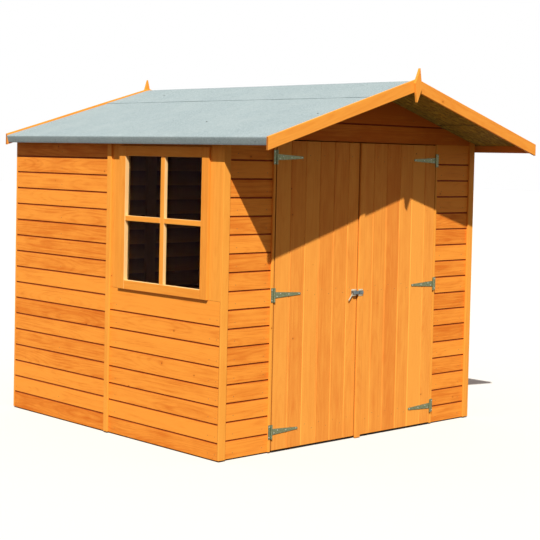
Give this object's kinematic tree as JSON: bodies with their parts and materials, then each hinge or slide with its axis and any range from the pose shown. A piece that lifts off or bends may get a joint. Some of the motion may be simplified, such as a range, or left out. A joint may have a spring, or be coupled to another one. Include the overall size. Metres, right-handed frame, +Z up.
{
  "type": "wooden garden shed",
  "caption": "Apex-roofed timber shed clad in horizontal boards, with double doors under a deep front canopy, a side window and a felt roof.",
  "frame": {"origin": "on the ground, at the centre of the wall footprint, on the underside of the middle floor bearer", "axes": "+X to the right along the front wall, +Y from the front wall to the back wall, +Z up"},
  "size_m": [2.28, 2.485, 2.1684],
  "materials": {
    "cladding": "orange wood stain on sawn softwood, satin",
    "door_boards": "orange wood stain on planed softwood, satin",
    "trim": "orange wood stain on planed softwood, satin",
    "framing": "sawn softwood with a thin stain, matt",
    "sheet": "pressed strand board, matt",
    "felt": "mineral roofing felt, pale grey green, gritty",
    "hinge_metal": "galvanised, dull",
    "glass": "clear sheet"
  },
  "bodies": {
    "root": {"floor_bearers": "framing", "floor_sheet": "sheet", "left_rear_cladding": "cladding", "left_window_cladding": "cladding", "left_window_trims": "trim", "left_wall_frame": "framing", "side_wall_battens": "trim", "window_frame": "trim", "window_glazing_bars": "trim", "window_glass": "glass", "right_rear_cladding": "cladding", "right_front_cladding": "cladding", "right_wall_frame": "framing", "back_left_cladding": "cladding", "back_right_cladding": "cladding", "back_wall_batten": "trim", "back_corner_strips": "trim", "back_wall_frame": "framing", "front_left_cladding": "cladding", "front_right_cladding": "cladding", "front_gable_cladding": "cladding", "front_corner_strips": "trim", "door_jamb_strips": "trim", "front_wall_frame": "framing", "roof_sheet_left": "sheet", "roof_sheet_right": "sheet", "roof_felt_left": "felt", "roof_felt_right": "felt", "roof_felt_ridge": "felt", "roof_eave_rails": "framing", "roof_purlins": "framing", "front_bargeboards": "trim", "back_bargeboards": "trim", "front_finial": "trim", "back_finial": "trim", "door_hinge_plates": "hinge_metal"},
    "left_door": {"left_door_boards": "door_boards", "left_door_ledges": "framing", "left_door_straps": "hinge_metal", "left_door_latch": "hinge_metal"},
    "right_door": {"right_door_boards": "door_boards", "right_door_ledges": "framing", "right_door_straps": "hinge_metal", "right_door_meeting_strip": "trim", "right_door_latch_keeper": "hinge_metal"}
  },
  "joints": [
    {"name": "left_door_hinge", "type": "hinge", "parent": "root", "child": "left_door", "pos_m": [-0.6805, -1.015, 0], "axis": [0, 0, 1], "range_deg": [-105, 0]},
    {"name": "right_door_hinge", "type": "hinge", "parent": "root", "child": "right_door", "pos_m": [0.6805, -1.015, 0], "axis": [0, 0, 1], "range_deg": [0, 105]}
  ]
}
